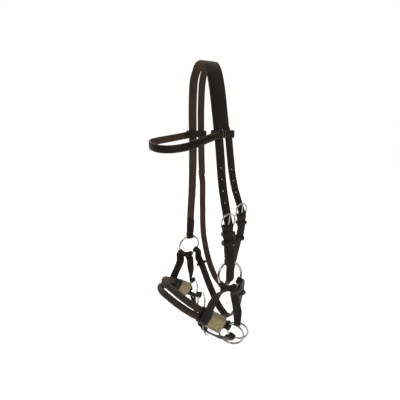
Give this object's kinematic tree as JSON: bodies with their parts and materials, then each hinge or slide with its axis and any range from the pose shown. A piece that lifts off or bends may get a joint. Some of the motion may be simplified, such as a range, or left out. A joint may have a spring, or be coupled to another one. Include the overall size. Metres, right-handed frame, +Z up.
{
  "type": "bitless hackamore",
  "caption": "Leather side-pull bridle with a split headstall, browband, throat latch, double rolled noseband, jaw and chin straps and steel rings.",
  "frame": {"origin": "middle of the poll seat: the flat underside of the crown strap where it lies over the horse's poll", "axes": "+Z up, -X towards the horse's nose, -Y towards the horse's left (near) side"},
  "size_m": [0.1789, 0.2312, 0.5848],
  "materials": {
    "strap_leather": "waxed smooth grain, satin",
    "side_leather": "waxed smooth grain, satin",
    "rolled_leather": "textured grain, matte, worn grey-brown",
    "rope": "twisted fibre",
    "fleece": "sheared wool pile",
    "steel": "bright nickel plate"
  },
  "bodies": {
    "headstall": {"crown_strap": "strap_leather", "near_cheekpiece": "strap_leather", "throat_latch": "strap_leather", "cheek_keeper_fixed": "side_leather", "throat_keeper_fixed": "side_leather"},
    "browband": {"browband": "strap_leather"},
    "cheek_buckle": {"cheek_buckle_frame": "steel"},
    "cheek_tongue": {"cheek_buckle_tongue": "steel"},
    "cheek_slider": {"cheek_keeper_sliding": "side_leather"},
    "throat_buckle": {"throat_buckle_frame": "steel"},
    "throat_tongue": {"throat_buckle_tongue": "steel"},
    "throat_slider": {"throat_keeper_sliding": "side_leather"},
    "nose_unit": {"side_yoke_near": "side_leather", "side_yoke_far": "side_leather", "upper_nose_tube": "rolled_leather", "lower_nose_tube": "rolled_leather", "upper_rope_core": "rope", "lower_rope_core": "rope", "nose_wrap_near": "side_leather", "nose_wrap_far": "side_leather", "nose_pad_near": "fleece", "nose_pad_far": "fleece", "jaw_ring_tab_near": "side_leather", "jaw_ring_tab_far": "side_leather", "rein_ring_tab_near": "side_leather", "rein_ring_tab_far": "side_leather"},
    "cheek_ring_near": {"cheek_ring_near": "steel"},
    "cheek_ring_far": {"cheek_ring_far": "steel"},
    "jaw_ring_near": {"jaw_ring_near": "steel"},
    "jaw_ring_far": {"jaw_ring_far": "steel"},
    "rein_ring_near": {"rein_ring_near": "steel"},
    "rein_ring_far": {"rein_ring_far": "steel"},
    "jaw_strap": {"jaw_strap": "strap_leather", "jaw_keeper_near": "side_leather", "jaw_keeper_far": "side_leather"},
    "chin_unit": {"chin_billet": "strap_leather", "chin_strap": "strap_leather", "chin_keeper": "side_leather"},
    "chin_buckle": {"chin_buckle_frame": "steel"},
    "chin_tongue": {"chin_buckle_tongue": "steel"}
  },
  "joints": [
    {"name": "browband_slide", "type": "slide", "parent": "headstall", "child": "browband", "axis": [0, 0, 1], "range_m": [-0.0035, 0]},
    {"name": "cheek_buckle_hinge", "type": "hinge", "parent": "headstall", "child": "cheek_buckle", "pos_m": [0.01765, -0.08017, -0.306], "axis": [1, -0.0006, -0.0051], "range_deg": [0, 6]},
    {"name": "cheek_tongue_hinge", "type": "hinge", "parent": "cheek_buckle", "child": "cheek_tongue", "pos_m": [0.01765, -0.08017, -0.306], "axis": [1, -0.0006, -0.0051], "range_deg": [0, 6]},
    {"name": "cheek_keeper_slide", "type": "slide", "parent": "headstall", "child": "cheek_slider", "axis": [0.0078, 0.1305, 0.9914], "range_m": [-0.003, 0.003]},
    {"name": "throat_buckle_hinge", "type": "hinge", "parent": "headstall", "child": "throat_buckle", "pos_m": [0.0487, -0.0787, -0.288], "axis": [0.9987, 0.0074, 0.05], "range_deg": [0, 6]},
    {"name": "throat_tongue_hinge", "type": "hinge", "parent": "throat_buckle", "child": "throat_tongue", "pos_m": [0.0487, -0.0787, -0.288], "axis": [0.9987, 0.0074, 0.05], "range_deg": [0, 6]},
    {"name": "throat_keeper_slide", "type": "slide", "parent": "headstall", "child": "throat_slider", "axis": [0.0683, -0.1801, 0.9813], "range_m": [-0.003, 0.003]},
    {"name": "nose_hinge", "type": "hinge", "parent": "headstall", "child": "nose_unit", "pos_m": [0.0175, 0, -0.4005], "axis": [0, 1, 0], "range_deg": [-6, 14]},
    {"name": "jaw_strap_hinge", "type": "hinge", "parent": "nose_unit", "child": "jaw_strap", "pos_m": [0.0175, 0, -0.4005], "axis": [0, 1, 0], "range_deg": [-5, 5]},
    {"name": "chin_hinge", "type": "hinge", "parent": "nose_unit", "child": "chin_unit", "pos_m": [0.02655, 0, -0.53798], "axis": [0, 1, 0], "range_deg": [-1.5, 3]},
    {"name": "chin_buckle_hinge", "type": "hinge", "parent": "chin_unit", "child": "chin_buckle", "pos_m": [0.0125, 0, -0.57], "axis": [0.6256, 0.0775, -0.7763], "range_deg": [0, 6]},
    {"name": "chin_tongue_hinge", "type": "hinge", "parent": "chin_buckle", "child": "chin_tongue", "pos_m": [0.0125, 0, -0.57], "axis": [0.6256, 0.0775, -0.7763], "range_deg": [0, 6]},
    {"name": "cheek_ring_spin_near", "type": "hinge", "parent": "nose_unit", "child": "cheek_ring_near", "pos_m": [0.0175, -0.093, -0.4005], "axis": [0, -0.9781, 0.2079], "continuous": true},
    {"name": "jaw_ring_spin_near", "type": "hinge", "parent": "nose_unit", "child": "jaw_ring_near", "pos_m": [0.0335, -0.1, -0.5215], "axis": [-0.631, -0.752, -0.1908], "continuous": true},
    {"name": "rein_ring_swing_near", "type": "hinge", "parent": "nose_unit", "child": "rein_ring_near", "pos_m": [0.03223, -0.06684, -0.52513], "axis": [-0.6698, 0.6969, -0.2563], "range_deg": [-12, 1]},
    {"name": "cheek_ring_spin_far", "type": "hinge", "parent": "nose_unit", "child": "cheek_ring_far", "pos_m": [0.0175, 0.093, -0.4005], "axis": [0, 0.9781, 0.2079], "continuous": true},
    {"name": "jaw_ring_spin_far", "type": "hinge", "parent": "nose_unit", "child": "jaw_ring_far", "pos_m": [0.0335, 0.1, -0.5215], "axis": [-0.631, 0.752, -0.1908], "continuous": true},
    {"name": "rein_ring_swing_far", "type": "hinge", "parent": "nose_unit", "child": "rein_ring_far", "pos_m": [0.03223, 0.06684, -0.52513], "axis": [-0.6698, -0.6969, -0.2563], "range_deg": [-1, 12]}
  ]
}
